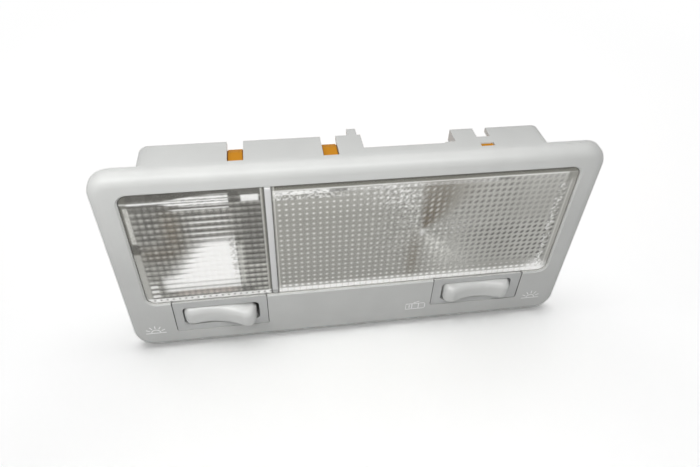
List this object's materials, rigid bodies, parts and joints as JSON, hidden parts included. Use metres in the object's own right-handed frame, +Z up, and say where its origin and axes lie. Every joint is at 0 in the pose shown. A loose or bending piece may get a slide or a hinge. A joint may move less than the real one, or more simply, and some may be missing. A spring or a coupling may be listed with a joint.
{
  "type": "car dome light",
  "caption": "Overhead interior car light with a reading lamp and a main lamp behind clear lenses in a grey bezel, each with its rocker switch.",
  "frame": {"origin": "centre of the headliner opening, on the plane of the bezel's back edge", "axes": "+X along the long side to the main lamp's end, +Y from the face into the headliner, +Z up the short side from the switches to the hooks' edge"},
  "size_m": [0.19, 0.038, 0.0916],
  "materials": {
    "housing": "fine-grained light grey moulding",
    "lens": "clear moulding with optics inside",
    "reflector": "bright polished",
    "carrier": "orange heat-resistant moulding",
    "bulb_glass": "clear",
    "bulb_cap": "nickel-plated",
    "filament": "drawn wire",
    "contact": "spring brass",
    "busbar": "stamped strip",
    "holder": "ivory moulding",
    "switch_panel": "fine-grained grey moulding",
    "rocker": "satin grey moulding",
    "plunger": "natural moulding",
    "spring_steel": "blued spring steel"
  },
  "bodies": {
    "lamp": {"housing": "housing", "reading_lens": "lens", "main_lens": "lens", "reading_reflector": "reflector", "main_reflector": "reflector", "bulb_carrier": "carrier", "main_bulb_glass": "bulb_glass", "main_bulb_caps": "bulb_cap", "main_bulb_filament": "filament", "festoon_spring_left": "contact", "festoon_spring_right": "contact", "reading_bulb_glass": "bulb_glass", "reading_bulb_filament": "filament", "reading_bulb_holder": "holder", "reading_bulb_contacts": "contact", "ground_busbar": "busbar", "supply_busbar": "busbar", "door_busbar": "busbar", "main_feed_busbar": "busbar", "reading_feed_busbar": "busbar", "reading_switch_body": "switch_panel", "main_switch_body": "switch_panel", "reading_switch_terminals": "contact", "main_switch_terminals": "contact", "retaining_spring": "spring_steel"},
    "reading_rocker": {"reading_rocker": "rocker", "reading_plunger": "plunger", "reading_plunger_spring": "spring_steel"},
    "main_rocker": {"main_rocker": "rocker", "main_plunger": "plunger", "main_plunger_spring": "spring_steel"},
    "reading_seesaw": {"reading_seesaw": "contact"},
    "main_seesaw": {"main_seesaw": "contact"}
  },
  "joints": [
    {"name": "reading_rocker_hinge", "type": "hinge", "parent": "lamp", "child": "reading_rocker", "pos_m": [-0.0567, -0.0022, -0.02735], "axis": [0, 0, 1], "range_deg": [0, 20]},
    {"name": "main_rocker_hinge", "type": "hinge", "parent": "lamp", "child": "main_rocker", "pos_m": [0.0546, -0.0022, -0.02655], "axis": [0, 0, 1], "range_deg": [-10, 10]},
    {"name": "reading_contact_hinge", "type": "hinge", "parent": "lamp", "child": "reading_seesaw", "pos_m": [-0.0567, 0.00475, -0.02735], "axis": [0, 0, 1], "range_deg": [-12, 0]},
    {"name": "main_contact_hinge", "type": "hinge", "parent": "lamp", "child": "main_seesaw", "pos_m": [0.0546, 0.00475, -0.02655], "axis": [0, 0, 1], "range_deg": [-6, 6]}
  ],
  "couplings": [
    {"joint": "reading_contact_hinge", "follows": "reading_rocker_hinge", "ratio": -0.6},
    {"joint": "main_contact_hinge", "follows": "main_rocker_hinge", "ratio": -0.6}
  ]
}
